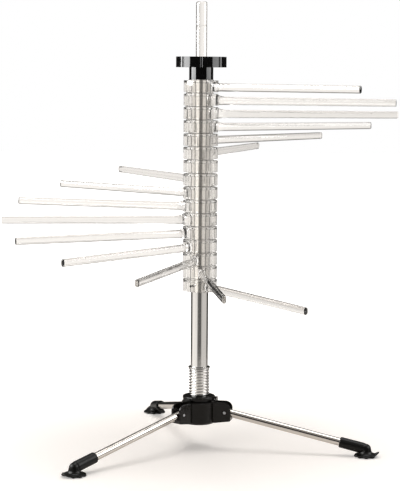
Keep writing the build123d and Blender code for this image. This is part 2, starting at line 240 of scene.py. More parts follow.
material = bpy.data.materials.new("pale table")
material.use_nodes = True
tree = material.node_tree
shader = tree.nodes["Principled BSDF"]
shader.inputs["Base Color"].default_value = FLOOR_COLOR
shader.inputs["Roughness"].default_value = FLOOR_ROUGHNESS
shader.inputs["Specular IOR Level"].default_value = FLOOR_SPECULAR
place = tree.nodes.new("ShaderNodeTexCoord").outputs["Object"]
reach = tree.nodes.new("ShaderNodeVectorMath")
reach.operation = "LENGTH"
tree.links.new(place, reach.inputs[0])
path = tree.nodes.new("ShaderNodeLightPath")
whiter = fade(tree, reach.outputs["Value"], FLOOR_PLAIN, FLOOR_WHITE, FLOOR_LIFT, 1.0)
shader.inputs["Emission Color"].default_value = WHITE_LIGHT
feed(tree, shader.inputs["Emission Strength"],
     math_node(tree, "MULTIPLY", whiter, path.outputs["Is Camera Ray"]))

split = tree.nodes.new("ShaderNodeSeparateXYZ")
tree.links.new(place, split.inputs[0])
far = fade(tree, reach.outputs["Value"], PANEL_NEAR, PANEL_FAR)
surface = shader.outputs[0]
for ray, panels in (("Is Glossy Ray", MIRRORED), ("Is Transmission Ray", SEEN_THROUGH)):
    shown = tree.nodes.new("ShaderNodeEmission")
    shown.inputs["Color"].default_value = WARM_LIGHT
    light = panel_light(tree, split.outputs["X"], split.outputs["Y"], panels)
    feed(tree, shown.inputs["Strength"], light)
    swap = tree.nodes.new("ShaderNodeMixShader")
    feed(tree, swap.inputs[0], math_node(tree, "MULTIPLY", far, path.outputs[ray]))
    feed(tree, swap.inputs[1], surface)
    feed(tree, swap.inputs[2], shown.outputs[0])
    surface = swap.outputs[0]
feed(tree, tree.nodes["Material Output"].inputs["Surface"], surface)
floor.data.materials.append(material)

# %% [markdown]
# ## The lamps
# One large soft light above the rack and a weaker one from the front left light the matt
# surfaces at a plain level, so that a colour renders about as it is written. Two tall soft boxes
# stand left and right with their lower edges just below the height of the knob. Only glossy
# surfaces see them: they draw the upright bright bands on the black knob, the left one brighter.

# %% The lamps
def soft_light(name, place, target, size, power):
    """A rectangular area light at a place, aimed at a target."""
    bpy.ops.object.light_add(type="AREA", location=place)
    lamp = bpy.context.object
    lamp.name = name
    lamp.data.shape = "RECTANGLE"
    lamp.data.size, lamp.data.size_y = size
    lamp.data.energy = power
    lamp.rotation_euler = (Vector(target) - Vector(place)).to_track_quat("-Z", "Y").to_euler()
    return lamp


# Each plain lamp has a place, a target, a size and a power.
OVERHEAD = ((0.15, 0.35, 1.9), (0.0, 0.0, 0.1), (1.2, 1.2), 15.0)
FRONT = ((-1.3, -1.5, 1.3), (0.0, 0.0, 0.2), (0.9, 0.9), 8.0)
# Each box has an angle about the column and a power.
BOX_DISTANCE, BOX_HEIGHT, BOX_SIZE = 1.15, 0.96, (1.12, 1.2)
BOXES = {"left box": (-169.5, 46.0), "right box": (-11.5, 18.0)}

soft_light("overhead", *OVERHEAD)
soft_light("front", *FRONT)
for name, (angle, power) in BOXES.items():
    place = Matrix.Rotation(math.radians(angle), 3, "Z") @ Vector((BOX_DISTANCE, 0.0, 0.0))
    place.z = BOX_HEIGHT
    box = soft_light(name, place, (0.0, 0.0, BOX_HEIGHT), BOX_SIZE, power)
    box.visible_camera = box.visible_diffuse = box.visible_transmission = False

# %% [markdown]
# ## Tools for modelling
# The rack has many turned pieces: the knob, the wand, the cap and the rings of the arms. On a
# lathe a profile goes round an axis, and Blender does the same: one vertex is extruded from
# point to point to draw the outline, and the outline is spun. The same drawing, filled, is the
# section of an arm. Sizes are written in millimetres, as on the maker's drawing, and become
# metres in one place, where a point is made.

# %% Drawing an outline
MM = 0.001
WELD = MM / 1000


def point(x, y, z):
    """A place in metres from millimetres."""
    return Vector((x * MM, y * MM, z * MM))


def deselect():
    bpy.ops.object.select_all(action="DESELECT")


def draw(name, places, closed=True):
    """A new object, left in edit mode, with one chain of edges through the places."""
    deselect()
    bpy.ops.mesh.primitive_circle_add(vertices=3, radius=MM)
    piece = bpy.context.object
    piece.name = name
    bpy.ops.object.mode_set(mode="EDIT")
    bpy.ops.mesh.merge(type="CENTER")
    bpy.ops.transform.translate(value=places[0])
    stops = list(places) + ([places[0]] if closed else [])
    for here, there in zip(stops, stops[1:]):
        bpy.ops.mesh.extrude_region_move(TRANSFORM_OT_translate={"value": there - here})
    bpy.ops.mesh.select_all(action="SELECT")
    bpy.ops.mesh.remove_doubles(threshold=WELD)
    return piece


def tidy_mesh():
    """Merges doubles and points all faces outwards, then leaves edit mode."""
    bpy.ops.mesh.select_all(action="SELECT")
    bpy.ops.mesh.remove_doubles(threshold=WELD)
    bpy.ops.mesh.normals_make_consistent(inside=False)
    bpy.ops.object.mode_set(mode="OBJECT")


def turned(name, outline, steps=96, closed=True, sweep=360.0, start=0.0):
    """A turned piece: (radius, height) points in millimetres, spun about the Z axis."""
    turn = Matrix.Rotation(math.radians(start), 3, "Z")
    piece = draw(name, [turn @ point(radius, 0, height) for radius, height in outline], closed)
    if sweep < 360.0:
        bpy.ops.mesh.edge_face_add()
    bpy.ops.mesh.spin(
        steps=steps, angle=math.radians(sweep), center=(0, 0, 0), axis=(0, 0, -1)
    )
    tidy_mesh()
    return piece

# %% Finishing a mesh
def apply_modifier(piece, kind, **settings):
    """Adds a modifier with its settings and applies it."""
    deselect()
    piece.select_set(True)
    bpy.context.view_layer.objects.active = piece
    modifier = piece.modifiers.new(kind.lower(), kind)
    for key, value in settings.items():
        setattr(modifier, key, value)
    bpy.ops.object.modifier_apply(modifier=modifier.name)


def joined(piece, other, operation="UNION"):
    """Adds another solid to a piece, or cuts it out, and removes the other."""
    apply_modifier(piece, "BOOLEAN", operation=operation, object=other, solver="EXACT")
    bpy.data.objects.remove(other)


def rounded(piece, width, segments=3, angle=35.0):
    """Rounds every edge that is sharper than an angle."""
    apply_modifier(
        piece, "BEVEL", width=width * MM, segments=segments,
        limit_method="ANGLE", angle_limit=math.radians(angle),
    )


def smooth(piece, angle=32.0):
    """Smooth shading within an angle, with large faces kept flat and bevels taking the turn."""
    deselect()
    piece.select_set(True)
    bpy.context.view_layer.objects.active = piece
    bpy.ops.object.shade_smooth_by_angle(angle=math.radians(angle))
    apply_modifier(piece, "WEIGHTED_NORMAL", mode="FACE_AREA", weight=100, keep_sharp=True)


def copied(piece, name, move):
    """A copy with its own mesh, moved by a matrix inside its mesh."""
    other = piece.copy()
    other.data = piece.data.copy()
    other.name = other.data.name = name
    other.data.transform(move)
    bpy.context.scene.collection.objects.link(other)
    return other


def place_for(*parts):
    """One matrix from parts such as a turn about Z in degrees or a place in millimetres."""
    whole = Matrix.Identity(4)
    for part in parts:
        if isinstance(part, Vector):
            whole = whole @ Matrix.Translation(part)
        else:
            whole = whole @ Matrix.Rotation(math.radians(part), 4, "Z")
    return whole


def settle(piece, node, body, slot):
    """The piece stands for a CAD node, rides its body and takes a finish."""
    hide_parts(node)
    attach(piece, body)
    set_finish(piece, slot)
    low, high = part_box(node)
    print(piece.name, "for", node, [round((b - a) / MM, 1) for a, b in zip(low, high)])

# %% [markdown]
# ## The sixteen arms
# Each arm is one injection moulding in water-clear plastic: a ring with a boss round the tube, a
# channel between the boss and the outer wall, two stop ribs in the channel, a lug that stands
# on the ring and drags the next ring up, and a long barrel-shaped bar. Light runs through all of
# it, so every inner wall shows as an upright line. Hence the moulding is modelled whole, once,
# and copied. The bar flares into the ring in several steps that follow a curve.

# %% The ring of a moulding
ARM_COUNT = 16
RING_PITCH, LOWEST_RING = 13.3, 166.9
FIRST_ARM, FAN_STEP = -42.6, 22.78
RING_RADIUS, WALL_INNER, BOSS_RADIUS, RING_BORE = 17.3, 15.9, 12.5, 8.88
RING_HALF, BOSS_HALF, CHANNEL_TOP = 5.8, 6.6, 3.8
LUG_TOP, LUG_HALF_ANGLE, STOP_GAP, RIB_ANGLE = 9.7, 7.0, 0.4, 4.0
SEAT, FINE_GAP = 0.4, 0.02
RING_EDGE, LUG_EDGE, LUG_ROOT = 0.35, 0.3, 1.0
LUG_AZIMUTH = 180.0

ring_outline = [
    (RING_BORE, -BOSS_HALF), (BOSS_RADIUS, -BOSS_HALF), (BOSS_RADIUS, CHANNEL_TOP),
    (WALL_INNER, CHANNEL_TOP), (WALL_INNER, -RING_HALF), (RING_RADIUS, -RING_HALF),
    (RING_RADIUS, RING_HALF), (BOSS_RADIUS, RING_HALF), (BOSS_RADIUS, BOSS_HALF),
    (RING_BORE, BOSS_HALF),
]


def ring_part(name, inner, outer, bottom, top, middle, half_angle):
    """A block that follows the ring, between two radii, two heights and two angles."""
    outline = [(inner, bottom), (outer, bottom), (outer, top), (inner, top)]
    return turned(name, outline, 6, sweep=2 * half_angle, start=middle - half_angle)


def ring(name, with_lug=True):
    piece = turned(name, ring_outline, 128)
    rounded(piece, RING_EDGE)
    reach = LUG_HALF_ANGLE + STOP_GAP + RIB_ANGLE / 2
    for middle in (LUG_AZIMUTH - reach, LUG_AZIMUTH + FAN_STEP + reach):
        rib = ring_part(
            "rib", BOSS_RADIUS - SEAT, WALL_INNER + SEAT, -RING_HALF + FINE_GAP,
            CHANNEL_TOP + SEAT, middle, RIB_ANGLE / 2,
        )
        joined(piece, rib)
    if with_lug:
        lug = ring_part(
            "lug", BOSS_RADIUS + SEAT, WALL_INNER - SEAT, RING_HALF - LUG_ROOT, LUG_TOP,
            LUG_AZIMUTH, LUG_HALF_ANGLE,
        )
        rounded(lug, LUG_EDGE, 2)
        joined(piece, lug)
    return piece

# %% The bar of a moulding
# Each station gives the distance from the axis, the width, the height and the drop of the bar.
# The section is one quarter of the outline, in shares of half the width and half the height.
BAR_STATIONS = [
    (15.6, 8.4, 11.3, 0.0), (17.4, 7.3, 10.5, 0.2), (19.5, 6.3, 9.5, 0.45),
    (22.5, 5.55, 8.6, 0.7), (26.0, 5.2, 8.1, 0.8), (198.6, 4.4, 7.2, 0.8),
]
BAR_ROUND = 0.9
SECTION = [
    (1.0, 0.0), (0.95, 0.28), (0.86, 0.64), (0.68, 0.83), (0.42, 0.955), (0.14, 0.995),
]


def bar():
    """The barrel-shaped bar, extruded station by station and resized at each."""
    quarter = [(x / 2, z / 2) for x, z in SECTION]
    left = [(-x, z) for x, z in reversed(quarter)]
    upper = quarter + left
    around = upper + [(x, -z) for x, z in reversed(upper[1:-1])]
    distance, width, tall, drop = BAR_STATIONS[0]
    piece = draw("bar", [point(distance, x * width, z * tall - drop) for x, z in around])
    bpy.ops.mesh.edge_face_add()
    for start, end in zip(BAR_STATIONS, BAR_STATIONS[1:]):
        step = point(end[0] - start[0], 0, start[3] - end[3])
        bpy.ops.mesh.extrude_region_move(TRANSFORM_OT_translate={"value": step})
        bpy.ops.transform.resize(
            value=(1.0, end[1] / start[1], end[2] / start[2]),
            center_override=point(end[0], 0, -end[3]),
        )
    bpy.ops.mesh.bevel(offset=BAR_ROUND * MM, segments=4, affect="EDGES")
    tidy_mesh()
    return piece

# %% One moulding and its copies
KEY_REACH, KEY_WIDTH, KEY_DEPTH = 11.8, 4.0, 2.5
PIN_RADIUS, PIN_AZIMUTH, PIN_HOLE_GAP, PIN_REACH = 1.3, 238.0, 0.03, 19.0
BORE_REACH = 9.0


def moulding(name, with_lug=True):
    piece = ring(name, with_lug)
    joined(piece, bar())
    bore = turned("bore", [
        (0, -BORE_REACH), (RING_BORE, -BORE_REACH), (RING_BORE, BORE_REACH), (0, BORE_REACH),
    ], 128, False)
    joined(piece, bore, "DIFFERENCE")
    return piece


def cross_hole(radius, half_length, azimuth):
    """A bar across the axis that drills a hole at an azimuth."""
    deselect()
    bpy.ops.mesh.primitive_cylinder_add(
        vertices=32, radius=radius * MM, depth=2 * half_length * MM
    )
    hole = bpy.context.object
    turn = Matrix.Rotation(math.radians(azimuth), 4, "Z")
    hole.data.transform(turn @ Matrix.Rotation(math.pi / 2, 4, "Y"))
    return hole


plain_arm = moulding("plain_arm")
top_arm = moulding("top_arm", with_lug=False)
deselect()
bpy.ops.mesh.primitive_cube_add(size=1.0)
key_cut = bpy.context.object
key_size = point(2 * KEY_REACH, KEY_WIDTH, 2 * KEY_DEPTH)
key_cut.data.transform(
    Matrix.Translation(point(0, 0, BOSS_HALF)) @ Matrix.Diagonal((*key_size, 1.0))
)
joined(top_arm, key_cut, "DIFFERENCE")
fixed_arm = copied(plain_arm, "fixed_arm", Matrix.Identity(4))
last_turn = FIRST_ARM + (ARM_COUNT - 1) * FAN_STEP
pin_hole = cross_hole(PIN_RADIUS + PIN_HOLE_GAP, PIN_REACH, PIN_AZIMUTH - last_turn)
joined(fixed_arm, pin_hole, "DIFFERENCE")

shapes = {1: top_arm, ARM_COUNT: fixed_arm}
arms = []
for number in range(1, ARM_COUNT + 1):
    height = LOWEST_RING + (ARM_COUNT - number) * RING_PITCH
    turn = FIRST_ARM + (number - 1) * FAN_STEP
    name = f"arm_{number:02d}"
    shape = shapes.get(number, plain_arm)
    arm = copied(shape, f"clear_{name}", place_for(point(0, 0, height), turn))
    smooth(arm)
    settle(arm, name, "root" if number == ARM_COUNT else name, "clear_plastic")
    arms.append(arm)
for shape in (plain_arm, top_arm, fixed_arm):
    bpy.data.objects.remove(shape)
print("arm faces", len(arms[1].data.polygons))

# %% [markdown]
# ## The finger wheel
# The knob is one black moulding: a wheel with eight narrow flutes for the fingertips, a sunk
# dish in its top, and a plain hub that stands on the stack of rings. Two keys under the hub grip
# the highest ring. The body is turned, the flutes are cut by round bars, and a bevel softens
# every edge, because the soft edges are what catch the thin bright lines.

# %% The knob
STACK_TOP, WHEEL_BOTTOM, WHEEL_TOP, TUBE_TOP = 373.0, 385.2, 395.7, 393.6
WHEEL_RADIUS, HUB_RADIUS, WELL_RADIUS = 25.2, 12.05, 11.5
DISH_INNER, DISH_OUTER, DISH_DEPTH = 13.5, 21.0, 1.2
DISH_INNER_SLOPE, DISH_OUTER_SLOPE, WELL_DROP, KNOB_EDGE = 0.8, 1.0, 0.1, 0.75
FLUTE_COUNT, FLUTE_RADIUS, FLUTE_PLACE, FLUTE_AZIMUTH = 8, 1.7, 25.95, -90.0
FLUTE_BAR = 20.0
KEY_SIDE_GAP, KEY_ROOT, KEY_RISE = 0.1, 0.4, 0.3
HOLLOW_LOW, HOLLOW_HIGH = 360.0, 380.0

knob = turned("finger_wheel", [
    (RING_BORE, STACK_TOP), (HUB_RADIUS, STACK_TOP), (HUB_RADIUS, WHEEL_BOTTOM),
    (WHEEL_RADIUS, WHEEL_BOTTOM), (WHEEL_RADIUS, WHEEL_TOP), (DISH_OUTER, WHEEL_TOP),
    (DISH_OUTER - DISH_OUTER_SLOPE, WHEEL_TOP - DISH_DEPTH),
    (DISH_INNER + DISH_INNER_SLOPE, WHEEL_TOP - DISH_DEPTH),
    (DISH_INNER, WHEEL_TOP), (WELL_RADIUS, WHEEL_TOP), (WELL_RADIUS, TUBE_TOP - WELL_DROP),
    (RING_BORE, TUBE_TOP - WELL_DROP),
], 160)
wheel_middle = (WHEEL_BOTTOM + WHEEL_TOP) / 2
for index in range(FLUTE_COUNT):
    deselect()
    bpy.ops.mesh.primitive_cylinder_add(
        vertices=48, radius=FLUTE_RADIUS * MM, depth=FLUTE_BAR * MM
    )
    flute = bpy.context.object
    turn = FLUTE_AZIMUTH + index * 360.0 / FLUTE_COUNT
    flute.data.transform(place_for(turn, point(FLUTE_PLACE, 0, wheel_middle)))
    joined(knob, flute, "DIFFERENCE")
rounded(knob, KNOB_EDGE, 4, angle=40.0)

deselect()
bpy.ops.mesh.primitive_cube_add(size=1.0)
keys = bpy.context.object
key_size = point(
    2 * (KEY_REACH - KEY_SIDE_GAP), KEY_WIDTH - KEY_SIDE_GAP, KEY_DEPTH + KEY_ROOT
)
key_place = place_for(point(0, 0, STACK_TOP - KEY_DEPTH / 2 + KEY_RISE), FIRST_ARM)
keys.data.transform(key_place @ Matrix.Diagonal((*key_size, 1.0)))
hollow = turned("hollow", [
    (0, HOLLOW_LOW), (RING_BORE, HOLLOW_LOW), (RING_BORE, HOLLOW_HIGH), (0, HOLLOW_HIGH),
], 128, False)
joined(keys, hollow, "DIFFERENCE")
joined(knob, keys)
smooth(knob)
settle(knob, "knob", "arm_01", "black_plastic")

# %% [markdown]
# ## The wand
# A clear round stick, 282 millimetres long, stands in the tube and is drawn out to carry what
# will hang on an arm. It is turned with rounded ends and one fine groove. An arc helper gives
# the points of a rounded corner, because an outline of a few well placed points keeps the mesh
# light.

# %% The wand
WAND_RADIUS, WAND_BOTTOM, WAND_TOP = 5.6, 168.3, 450.1
WAND_ROUND, GROOVE_HEIGHT, GROOVE_RADIUS, GROOVE_OUTSIDE = 2.0, 426.5, 0.5, 0.25


def arc(middle, radius, start, end, steps):
    """Points of an arc in an outline, about a middle (radius, height), between two angles."""
    angles = [math.radians(start + (end - start) * i / steps) for i in range(steps + 1)]
    return [
        (middle[0] + radius * math.cos(a), middle[1] + radius * math.sin(a)) for a in angles
    ]


edge = WAND_RADIUS - WAND_ROUND
wand = turned("clear_wand", [
    (0.0, WAND_BOTTOM),
    *arc((edge, WAND_BOTTOM + WAND_ROUND), WAND_ROUND, -90, 0, 8),
    *arc((WAND_RADIUS + GROOVE_OUTSIDE, GROOVE_HEIGHT), GROOVE_RADIUS, 240, 120, 6),
    *arc((edge, WAND_TOP - WAND_ROUND), WAND_ROUND, 0, 90, 8),
    (0.0, WAND_TOP),
], 64, closed=False)
smooth(wand, 40.0)
settle(wand, "wand", "wand", "clear_plastic")

# %% [markdown]
# ## The spring
# A bright wire is wound ten times round the tube between the lock cap and a clip. The first and
# last turns lie close together, as on every compression spring, so that it stands level. A
# curve through points on the helix, with a round bevel, gives an even wire. A cubic curve runs
# a little inside its points, so the points stand a little outside the true radius.

# %% The spring
SPRING_TURNS, WIRE_RADIUS, SPRING_RADIUS = 10, 0.6, 9.75
SPRING_LOW, SPRING_HIGH, CLOSED_PITCH = 54.2, 81.3, 1.7
TURN_POINTS, CURVE_STEPS, ROUND_STEPS, CURVE_ORDER = 16, 2, 3, 4

open_pitch = (SPRING_HIGH - SPRING_LOW - 2 * CLOSED_PITCH) / (SPRING_TURNS - 2)
inside = (2 + math.cos(math.tau / TURN_POINTS)) / 3


def wire_height(turns):
    """Height of the wire's middle after some turns: close at both ends, open between."""
    low = min(turns, 1.0) * CLOSED_PITCH
    middle = min(max(turns - 1.0, 0.0), SPRING_TURNS - 2.0) * open_pitch
    high = max(turns - (SPRING_TURNS - 1.0), 0.0) * CLOSED_PITCH
    return SPRING_LOW + low + middle + high


deselect()
bpy.ops.curve.primitive_nurbs_path_add()
coil = bpy.context.object
coil.name = "wound_spring"
coil.data.splines.clear()
spline = coil.data.splines.new("NURBS")
spline.points.add(SPRING_TURNS * TURN_POINTS)
for index, place in enumerate(spline.points):
    turns = index / TURN_POINTS
    flat = Matrix.Rotation(math.tau * turns, 3, "Z") @ point(SPRING_RADIUS / inside, 0, 0)
    place.co = (flat.x, flat.y, wire_height(turns) * MM, 1.0)
spline.use_endpoint_u = True
spline.order_u = CURVE_ORDER
spline.resolution_u = CURVE_STEPS
coil.data.bevel_depth = WIRE_RADIUS * MM
coil.data.bevel_resolution = ROUND_STEPS
coil.data.use_fill_caps = True
bpy.ops.object.convert(target="MESH")
spring = bpy.context.object
bpy.ops.object.mode_set(mode="EDIT")
tidy_mesh()
smooth(spring, 60.0)
settle(spring, "spring", "root", "spring_steel")
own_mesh(spring)

# %% [markdown]
# ## The lock cap
# The spring presses a black cap down on the hub. Its three tongues drop behind the ends of the
# legs and hold them open or folded. The cap is turned, and each tongue is a block with a shelf
# that is joined to it, so that the softened edges run round the joint as well.

# %% The lock cap
LEG_AZIMUTHS = {"left": -133.2, "right": -13.2, "rear": 106.8}
CAP_TOP, CAP_RIM, CAP_ROUND, CAP_RADIUS, NECK_RADIUS = 53.5, 2.8, 1.2, 16.5, 13.0
HUB_TOP, HUB_CORE, CAP_GAP, CAP_EDGE = 48.0, 17.5, 0.1, 0.25
TONGUE_THICK, TONGUE_DEEP, TONGUE_WIDE, TONGUE_GAP, SHELF_STEP = 1.25, 5.0, 8.0, 0.2, 0.01


def slab(low, high):
    """A block between two corners in millimetres."""
    deselect()
    bpy.ops.mesh.primitive_cube_add(size=1.0)
    piece = bpy.context.object
    size = point(*(b - a for a, b in zip(low, high)))
    middle = point(*((a + b) / 2 for a, b in zip(low, high)))
    piece.data.transform(Matrix.Translation(middle) @ Matrix.Diagonal((*size, 1.0)))
    return piece


cap = turned("sprung_cap", [
    (RING_BORE, HUB_TOP + CAP_GAP), (NECK_RADIUS, HUB_TOP + CAP_GAP),
    (NECK_RADIUS, CAP_TOP - CAP_RIM), (CAP_RADIUS, CAP_TOP - CAP_RIM),
    *arc((CAP_RADIUS - CAP_ROUND, CAP_TOP - CAP_ROUND), CAP_ROUND, 0, 90, 6),
    (RING_BORE, CAP_TOP),
], 128)
inner = HUB_CORE + TONGUE_GAP
outer = inner + TONGUE_THICK
half, top = TONGUE_WIDE / 2, CAP_TOP - CAP_ROUND
for azimuth in LEG_AZIMUTHS.values():
    tongue = slab((NECK_RADIUS, -half, CAP_TOP - CAP_RIM), (outer, half, top))
    drop = slab((inner, -half, HUB_TOP - TONGUE_DEEP), (outer, half, top - SHELF_STEP))
    joined(tongue, drop)
    tongue.data.transform(place_for(azimuth))
    joined(cap, tongue)
rounded(cap, CAP_EDGE, 2, angle=50.0)
smooth(cap)
settle(cap, "lock_cap", "lock_cap", "black_plastic")

# %% [markdown]
# ## The rubber feet
# A soft rubber boot is pushed over the end of each leg. It is moulded in one with a thin round
# pad whose rim is scalloped like a flower and turned up in a broad lobe at the toe, to pull it
# off by. Rubber comes out of its mould with no sharp edge, so boot, neck and pad are joined,
# made one skin by a voxel remesh, and relaxed. The scallops come from moving the rim's vertices
# by a cosine.

# %% The feet
PIN_DISTANCE, PIN_HEIGHT, FOOT_DISTANCE, FOOT_AXIS = 28.0, 37.5, 171.5, 8.0
BOOT_RADIUS, BOOT_BORE, BOOT_LENGTH, BOOT_END = 5.5, 4.03, 27.0, 2.0
BOOT_STEP, BOOT_STEP_FALL, DOME_RADIUS = 2.4, 0.5, 5.05
MOUTH_ROUND, MOUTH_INSET, MOUTH_CHAMFER, END_GAP = 0.7, 0.75, 0.5, 0.03
PAD_RADIUS, PAD_HOLLOW, PAD_NECK = 12.3, 7.0, 6.4
# The pad's outline from below its middle, round the rim and up the neck, as (radius, height).
PAD_OUTLINE = [
    (0.0, 1.0), (PAD_HOLLOW, 1.0), (PAD_HOLLOW + 0.6, 0.0), (PAD_RADIUS - 3.0, 0.0),
    (PAD_RADIUS - 1.2, 0.15), (PAD_RADIUS - 0.25, 0.7), (PAD_RADIUS, 1.3),
    (PAD_RADIUS - 0.3, 2.0), (PAD_RADIUS - 1.4, 2.35), (PAD_NECK + 2.4, 2.7),
    (PAD_NECK + 0.6, 3.6), (5.7, 5.4), (5.1, 8.4), (0.0, 8.4),
]
SCALLOPS, SCALLOP_DEPTH, SCALLOP_RISE, RIM_BEND = 9, 1.5, 0.9, 1.5
TOE_REACH, TOE_RISE, TOE_ANGLE, TOE_CALM = 1.2, 4.2, 46.0, 0.7
VOXEL, RELAX_FACTOR, RELAX_ROUNDS = 0.36, 0.5, 3

slope = math.atan2(PIN_HEIGHT - FOOT_AXIS, FOOT_DISTANCE - PIN_DISTANCE)
leg_length = math.hypot(PIN_HEIGHT - FOOT_AXIS, FOOT_DISTANCE - PIN_DISTANCE)
along_leg = Matrix.Translation(point(PIN_DISTANCE, 0, PIN_HEIGHT)) @ Matrix.Rotation(
    math.pi / 2 + slope, 4, "Y"
)


def boot():
    """The boot over the leg's end, with a rolled mouth and a domed end behind a fine step."""
    mouth, end = leg_length - BOOT_LENGTH, leg_length - BOOT_END + END_GAP
    step = leg_length - BOOT_STEP
    piece = turned("boot", [
        (0.0, end), (BOOT_BORE, end), (BOOT_BORE, mouth + MOUTH_CHAMFER),
        *arc((BOOT_RADIUS - MOUTH_INSET, mouth + MOUTH_ROUND), MOUTH_ROUND, 200, 360, 5),
        (BOOT_RADIUS, step), (DOME_RADIUS, step + BOOT_STEP_FALL),
        *arc((0.0, leg_length), DOME_RADIUS, 0, 90, 10),
    ], 64, closed=False)
    piece.data.transform(along_leg)
    return piece


def pad():
    """The thin round pad, with a scalloped rim and a lobe turned up at the toe."""
    piece = turned("pad", PAD_OUTLINE, 144, closed=False)
    for vertex in piece.data.vertices:
        place = vertex.co / MM
        radius, angle = math.hypot(place.x, place.y), math.atan2(place.y, place.x)
        rim = min(max((radius - PAD_HOLLOW) / (PAD_RADIUS - PAD_HOLLOW), 0.0), 1.0) ** RIM_BEND
        wave = 0.5 + 0.5 * math.cos(SCALLOPS * angle)
        toe = max(0.0, 1.0 - (math.degrees(angle) / TOE_ANGLE) ** 2) ** 2
        out = rim * (TOE_REACH * toe - SCALLOP_DEPTH * (1 - wave) * (1 - TOE_CALM * toe))
        rise = rim * (TOE_RISE * toe + SCALLOP_RISE * (1 - wave) * (1 - toe))
        grow = 1.0 + out / max(radius, 1.0)
        vertex.co = point(place.x * grow, place.y * grow, place.z + rise)
    piece.data.transform(Matrix.Translation(point(FOOT_DISTANCE, 0, 0)))
    return piece


foot = boot()
joined(foot, pad())
apply_modifier(foot, "REMESH", mode="VOXEL", voxel_size=VOXEL * MM)
apply_modifier(foot, "SMOOTH", factor=RELAX_FACTOR, iterations=RELAX_ROUNDS)
feet = []
for side, azimuth in LEG_AZIMUTHS.items():
    rubber_foot = copied(foot, f"rubber_foot_{side}", place_for(azimuth))
    smooth(rubber_foot, 80.0)
    settle(rubber_foot, f"foot_{side}", f"leg_{side}", "black_rubber")
    feet.append(rubber_foot)
bpy.data.objects.remove(foot)

# %% [markdown]
# ## Effects that several finishes share
# A plain colour never looks real up close. Each finish here varies in a few ways that come from
# how the thing is made and used: handling dulls gloss in patches, moulded plastic has shallow
# waves, drawn metal has fine lines along its length, and rubber has a grain and a pale bloom.
# Each effect is one node group that gives a mask or a height, so every finish can use it at its
# own strength. All of them read Object coordinates, so the pattern sits still when parts move.

# %% Node groups for the effects
def effect(name, scale):
    """A node group from a place and a scale to one value. Gives its tree, inputs and output."""
    group = bpy.data.node_groups.new(name, "ShaderNodeTree")
    group.interface.new_socket("Place", in_out="INPUT", socket_type="NodeSocketVector")
    size = group.interface.new_socket("Scale", in_out="INPUT", socket_type="NodeSocketFloat")
    size.default_value = scale
    group.interface.new_socket("Value", in_out="OUTPUT", socket_type="NodeSocketFloat")
    inputs = group.nodes.new("NodeGroupInput").outputs
    return group, inputs, group.nodes.new("NodeGroupOutput").inputs["Value"]


def noise(tree, place, scale, detail=3.0, roughness=0.55):
    node = tree.nodes.new("ShaderNodeTexNoise")
    feed(tree, node.inputs["Vector"], place)
    feed(tree, node.inputs["Scale"], scale)
    node.inputs["Detail"].default_value = detail
    node.inputs["Roughness"].default_value = roughness
    return node.outputs["Fac"]


def vector_node(tree, operation, first, second):
    node = tree.nodes.new("ShaderNodeVectorMath")
    node.operation = operation
    feed(tree, node.inputs[0], first)
    feed(tree, node.inputs["Scale" if operation == "SCALE" else 1], second)
    return node.outputs["Value" if operation == "DOT_PRODUCT" else "Vector"]


def drawn_out(tree, place, along, share=0.01):
    """The place squeezed along a direction, so that a noise in it becomes long streaks."""
    length = vector_node(tree, "DOT_PRODUCT", place, along)
    back = vector_node(tree, "SCALE", along, math_node(tree, "MULTIPLY", length, share - 1.0))
    return vector_node(tree, "ADD", place, back)


# Patches where hands have dulled the gloss, with small smudges in them.
PATCH_EDGE, SMUDGE_EDGE, SMUDGE_RATIO = (0.46, 0.68), (0.42, 0.66), 9.0
handled, inputs, result = effect("handled patches", 38.0)
broad = fade(handled, noise(handled, inputs["Place"], inputs["Scale"]), *PATCH_EDGE)
fine_scale = math_node(handled, "MULTIPLY", inputs["Scale"], SMUDGE_RATIO)
fine = fade(handled, noise(handled, inputs["Place"], fine_scale, 4.0), *SMUDGE_EDGE)
feed(handled, result, math_node(handled, "MULTIPLY", broad, fine))

# Shallow waves from the flow of plastic in its mould.
QUICK_RATIO, QUICK_SHARE = 6.0, 0.12
waves, inputs, result = effect("moulding waves", 55.0)
slow = noise(waves, inputs["Place"], inputs["Scale"], 1.0, 0.4)
quick_scale = math_node(waves, "MULTIPLY", inputs["Scale"], QUICK_RATIO)
quick = noise(waves, inputs["Place"], quick_scale, 2.0)
small = math_node(waves, "MULTIPLY", quick, QUICK_SHARE)
feed(waves, result, math_node(waves, "ADD", slow, small))

# Fine lines, where the place has been drawn out along the metal.
WIDE_RATIO, WIDE_SHARE, LINE_EDGE = 0.2, 0.5, (0.55, 0.95)
lines, inputs, result = effect("drawn lines", 900.0)
thin = noise(lines, inputs["Place"], inputs["Scale"], 3.0, 0.65)
wide_scale = math_node(lines, "MULTIPLY", inputs["Scale"], WIDE_RATIO)
wide = noise(lines, inputs["Place"], wide_scale, 2.0)
blend = math_node(lines, "ADD", math_node(lines, "MULTIPLY", wide, WIDE_SHARE), thin)
feed(lines, result, fade(lines, blend, *LINE_EDGE))

# Grain of a sand-blasted mould, for rubber, plated metal and matt plastic.
SOFT_RATIO = 0.5
grain, inputs, result = effect("mould grain", 1600.0)
cells = grain.nodes.new("ShaderNodeTexVoronoi")
feed(grain, cells.inputs["Vector"], inputs["Place"])
feed(grain, cells.inputs["Scale"], inputs["Scale"])
soft_scale = math_node(grain, "MULTIPLY", inputs["Scale"], SOFT_RATIO)
soft = noise(grain, inputs["Place"], soft_scale, 2.0)
feed(grain, result, math_node(grain, "ADD", cells.outputs["Distance"], soft))

